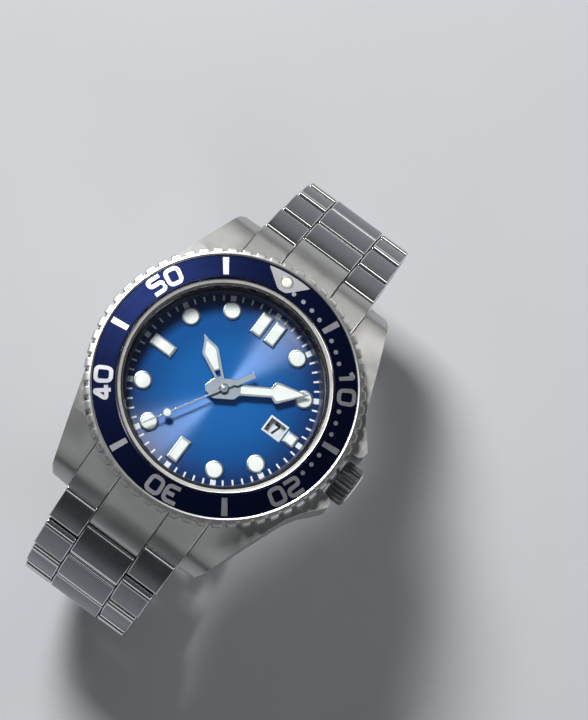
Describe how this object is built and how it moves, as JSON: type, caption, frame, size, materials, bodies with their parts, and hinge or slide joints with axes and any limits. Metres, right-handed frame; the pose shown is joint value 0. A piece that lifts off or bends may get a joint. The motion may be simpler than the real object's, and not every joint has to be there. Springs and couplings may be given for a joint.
{
  "type": "dive watch",
  "caption": "Steel dive watch with a rotating bezel, sunburst dial, hands, date window, guarded crown, link bracelet and folding clasp.",
  "frame": {"origin": "centre of the case back's outer face, which rests on the wrist", "axes": "+X towards 3 o'clock and the crown, +Y towards 12 o'clock, +Z out of the dial"},
  "size_m": [0.0445, 0.0741, 0.0558],
  "materials": {
    "steel_brushed": "brushed and polished stainless steel",
    "steel_polished": "polished stainless steel",
    "steel_satin": "satin movement steel",
    "bezel_blue": "anodised dark blue, printed in silver grey",
    "dial_blue": "sunburst blue",
    "lume": "luminous paint",
    "white_print": "satin white",
    "crystal_glass": "polished mineral glass",
    "rubber_black": "matte seal rubber",
    "black_satin": "satin black",
    "brass_plain": "machined brass",
    "copper_wire": "enamelled copper wire",
    "nylon_clear": "moulded nylon"
  },
  "bodies": {
    "case": {"case": "steel_brushed", "case_back": "steel_brushed", "case_back_gasket": "rubber_black", "crystal": "crystal_glass", "crystal_gasket": "nylon_clear", "rehaut_ring": "black_satin", "crown_tube": "steel_brushed", "bezel_click_spring": "steel_satin", "bezel_retaining_ring": "steel_satin", "dial": "dial_blue", "solar_cell": "black_satin", "movement_holder": "nylon_clear", "main_plate": "brass_plain", "train_bridge": "steel_satin", "power_cell": "steel_polished", "motor_coil": "copper_wire", "motor_stator": "steel_satin", "end_link_12": "steel_brushed", "end_link_6": "steel_brushed", "spring_bar_12": "steel_brushed", "spring_bar_6": "steel_brushed"},
    "bezel": {"bezel_ring": "steel_brushed", "bezel_insert": "bezel_blue", "bezel_lume_pip": "lume"},
    "seconds": {"second_hand": "steel_polished", "seconds_wheel": "brass_plain"},
    "minutes": {"minute_hand": "steel_polished", "centre_wheel": "brass_plain"},
    "hours": {"hour_hand": "steel_polished", "hour_wheel": "brass_plain"},
    "third_wheel": {"third_wheel": "brass_plain"},
    "fifth_wheel": {"fifth_wheel": "brass_plain"},
    "motor_rotor": {"motor_rotor": "black_satin"},
    "minute_wheel": {"minute_wheel": "nylon_clear"},
    "date_disc": {"date_disc": "white_print"},
    "crown_seal": {"crown_gasket": "rubber_black"},
    "crown": {"crown": "steel_brushed", "stem": "steel_satin"},
    "setting_lever": {"setting_lever": "steel_satin"},
    "link_12_1": {"link_12_1": "steel_brushed"},
    "link_12_2": {"link_12_2": "steel_brushed"},
    "link_12_3": {"link_12_3": "steel_brushed"},
    "link_12_4": {"link_12_4": "steel_brushed"},
    "link_12_5": {"link_12_5": "steel_brushed"},
    "link_12_6": {"link_12_6": "steel_brushed"},
    "link_12_7": {"link_12_7": "steel_brushed"},
    "link_6_1": {"link_6_1": "steel_brushed"},
    "link_6_2": {"link_6_2": "steel_brushed"},
    "link_6_3": {"link_6_3": "steel_brushed"},
    "link_6_4": {"link_6_4": "steel_brushed"},
    "link_6_5": {"link_6_5": "steel_brushed"},
    "link_6_6": {"link_6_6": "steel_brushed"},
    "link_6_7": {"link_6_7": "steel_brushed"},
    "clasp_cover": {"clasp_cover": "steel_brushed", "clasp_spring_bar": "steel_brushed"},
    "clasp_outer_blade": {"clasp_outer_blade": "steel_brushed"},
    "clasp_inner_blade": {"clasp_inner_blade": "steel_brushed"},
    "safety_latch": {"safety_latch": "steel_brushed"},
    "clasp_button_left": {"clasp_button_left": "steel_polished"},
    "clasp_button_right": {"clasp_button_right": "steel_polished"}
  },
  "joints": [
    {"name": "bezel_turn", "type": "hinge", "parent": "case", "child": "bezel", "pos_m": [0, 0, 0.0095], "axis": [0, 0, 1], "continuous": true},
    {"name": "second_hand_turn", "type": "hinge", "parent": "case", "child": "seconds", "pos_m": [0, 0, 0.0085], "axis": [0, 0, -1], "continuous": true},
    {"name": "minute_hand_turn", "type": "hinge", "parent": "case", "child": "minutes", "pos_m": [0, 0, 0.0081], "axis": [0, 0, -1], "continuous": true},
    {"name": "hour_hand_turn", "type": "hinge", "parent": "case", "child": "hours", "pos_m": [0, 0, 0.0076], "axis": [0, 0, -1], "continuous": true},
    {"name": "third_wheel_turn", "type": "hinge", "parent": "case", "child": "third_wheel", "pos_m": [0.00307, -0.00215, 0.00305], "axis": [0, 0, -1], "continuous": true},
    {"name": "fifth_wheel_turn", "type": "hinge", "parent": "case", "child": "fifth_wheel", "pos_m": [0.00058, 0.0033, 0.0034], "axis": [0, 0, -1], "continuous": true},
    {"name": "motor_rotor_turn", "type": "hinge", "parent": "case", "child": "motor_rotor", "pos_m": [-0.00176, 0.00465, 0.003], "axis": [0, 0, -1], "continuous": true},
    {"name": "minute_wheel_turn", "type": "hinge", "parent": "case", "child": "minute_wheel", "pos_m": [-0.0026, 0, 0.005], "axis": [0, 0, -1], "continuous": true},
    {"name": "date_disc_turn", "type": "hinge", "parent": "case", "child": "date_disc", "pos_m": [0, 0, 0.0058], "axis": [0, 0, -1], "continuous": true},
    {"name": "crown_pull", "type": "slide", "parent": "case", "child": "crown_seal", "axis": [1, 0, 0], "range_m": [0, 0.0016]},
    {"name": "crown_turn", "type": "hinge", "parent": "crown_seal", "child": "crown", "pos_m": [0.022, 0, 0.0044], "axis": [1, 0, 0], "continuous": true},
    {"name": "setting_lever_swing", "type": "hinge", "parent": "case", "child": "setting_lever", "pos_m": [0.0083, 0.0027, 0.0051], "axis": [0, 0, 1], "range_deg": [0, 31.6]},
    {"name": "link_12_1_hinge", "type": "hinge", "parent": "case", "child": "link_12_1", "pos_m": [0, 0.0245, 0.001], "axis": [1, 0, 0], "range_deg": [0, 11]},
    {"name": "link_12_2_hinge", "type": "hinge", "parent": "link_12_1", "child": "link_12_2", "pos_m": [0, 0.02918, -0.0042], "axis": [1, 0, 0], "range_deg": [0, 12]},
    {"name": "link_12_3_hinge", "type": "hinge", "parent": "link_12_2", "child": "link_12_3", "pos_m": [0, 0.03349, -0.00972], "axis": [1, 0, 0], "range_deg": [0, 19]},
    {"name": "link_12_4_hinge", "type": "hinge", "parent": "link_12_3", "child": "link_12_4", "pos_m": [0, 0.03667, -0.01596], "axis": [1, 0, 0], "range_deg": [0, 31]},
    {"name": "link_12_5_hinge", "type": "hinge", "parent": "link_12_4", "child": "link_12_5", "pos_m": [0, 0.03713, -0.02294], "axis": [1, 0, 0], "range_deg": [0, 31]},
    {"name": "link_12_6_hinge", "type": "hinge", "parent": "link_12_5", "child": "link_12_6", "pos_m": [0, 0.0348, -0.02954], "axis": [1, 0, 0], "range_deg": [-5, 30]},
    {"name": "link_12_7_hinge", "type": "hinge", "parent": "link_12_6", "child": "link_12_7", "pos_m": [0, 0.03015, -0.03477], "axis": [1, 0, 0], "range_deg": [-5, 31]},
    {"name": "link_6_1_hinge", "type": "hinge", "parent": "case", "child": "link_6_1", "pos_m": [0, -0.0245, 0.001], "axis": [1, 0, 0], "range_deg": [-11, 0]},
    {"name": "link_6_2_hinge", "type": "hinge", "parent": "link_6_1", "child": "link_6_2", "pos_m": [0, -0.02918, -0.0042], "axis": [1, 0, 0], "range_deg": [-26, 0]},
    {"name": "link_6_3_hinge", "type": "hinge", "parent": "link_6_2", "child": "link_6_3", "pos_m": [0, -0.03203, -0.0106], "axis": [1, 0, 0], "range_deg": [-21, 0]},
    {"name": "link_6_4_hinge", "type": "hinge", "parent": "link_6_3", "child": "link_6_4", "pos_m": [0, -0.03337, -0.01747], "axis": [1, 0, 0], "range_deg": [-28, 0]},
    {"name": "link_6_5_hinge", "type": "hinge", "parent": "link_6_4", "child": "link_6_5", "pos_m": [0, -0.03224, -0.02438], "axis": [1, 0, 0], "range_deg": [-30, 0]},
    {"name": "link_6_6_hinge", "type": "hinge", "parent": "link_6_5", "child": "link_6_6", "pos_m": [0, -0.02859, -0.03035], "axis": [1, 0, 0], "range_deg": [-30, 8]},
    {"name": "link_6_7_hinge", "type": "hinge", "parent": "link_6_6", "child": "link_6_7", "pos_m": [0, -0.02295, -0.0345], "axis": [1, 0, 0], "range_deg": [-30, 8]},
    {"name": "clasp_cover_hinge", "type": "hinge", "parent": "link_12_7", "child": "clasp_cover", "pos_m": [0, 0.02381, -0.03774], "axis": [1, 0, 0], "range_deg": [-5, 35]},
    {"name": "outer_blade_hinge", "type": "hinge", "parent": "clasp_cover", "child": "clasp_outer_blade", "pos_m": [0, -0.01262, -0.03765], "axis": [1, 0, 0], "range_deg": [0, 75]},
    {"name": "inner_blade_hinge", "type": "hinge", "parent": "clasp_outer_blade", "child": "clasp_inner_blade", "pos_m": [0, 0.01917, -0.03854], "axis": [1, 0, 0], "range_deg": [-75, 0]},
    {"name": "safety_latch_hinge", "type": "hinge", "parent": "clasp_cover", "child": "safety_latch", "pos_m": [0, 0.00857, -0.04374], "axis": [1, 0, 0], "range_deg": [-110, 0]},
    {"name": "left_button_press", "type": "slide", "parent": "clasp_cover", "child": "clasp_button_left", "axis": [1, 0, 0], "range_m": [0, 0.0008], "stiffness_N_per_m": 500, "springref_m": -0.0002},
    {"name": "right_button_press", "type": "slide", "parent": "clasp_cover", "child": "clasp_button_right", "axis": [-1, 0, 0], "range_m": [0, 0.0008], "stiffness_N_per_m": 500, "springref_m": -0.0002}
  ],
  "couplings": [
    {"joint": "minute_hand_turn", "follows": "second_hand_turn", "ratio": 0.016667},
    {"joint": "hour_hand_turn", "follows": "second_hand_turn", "ratio": 0.0013889},
    {"joint": "third_wheel_turn", "follows": "second_hand_turn", "ratio": -0.13333},
    {"joint": "fifth_wheel_turn", "follows": "second_hand_turn", "ratio": -5},
    {"joint": "motor_rotor_turn", "follows": "second_hand_turn", "ratio": 30},
    {"joint": "minute_wheel_turn", "follows": "second_hand_turn", "ratio": -0.0055556},
    {"joint": "setting_lever_swing", "follows": "crown_pull", "rad_per_m": 340}
  ]
}
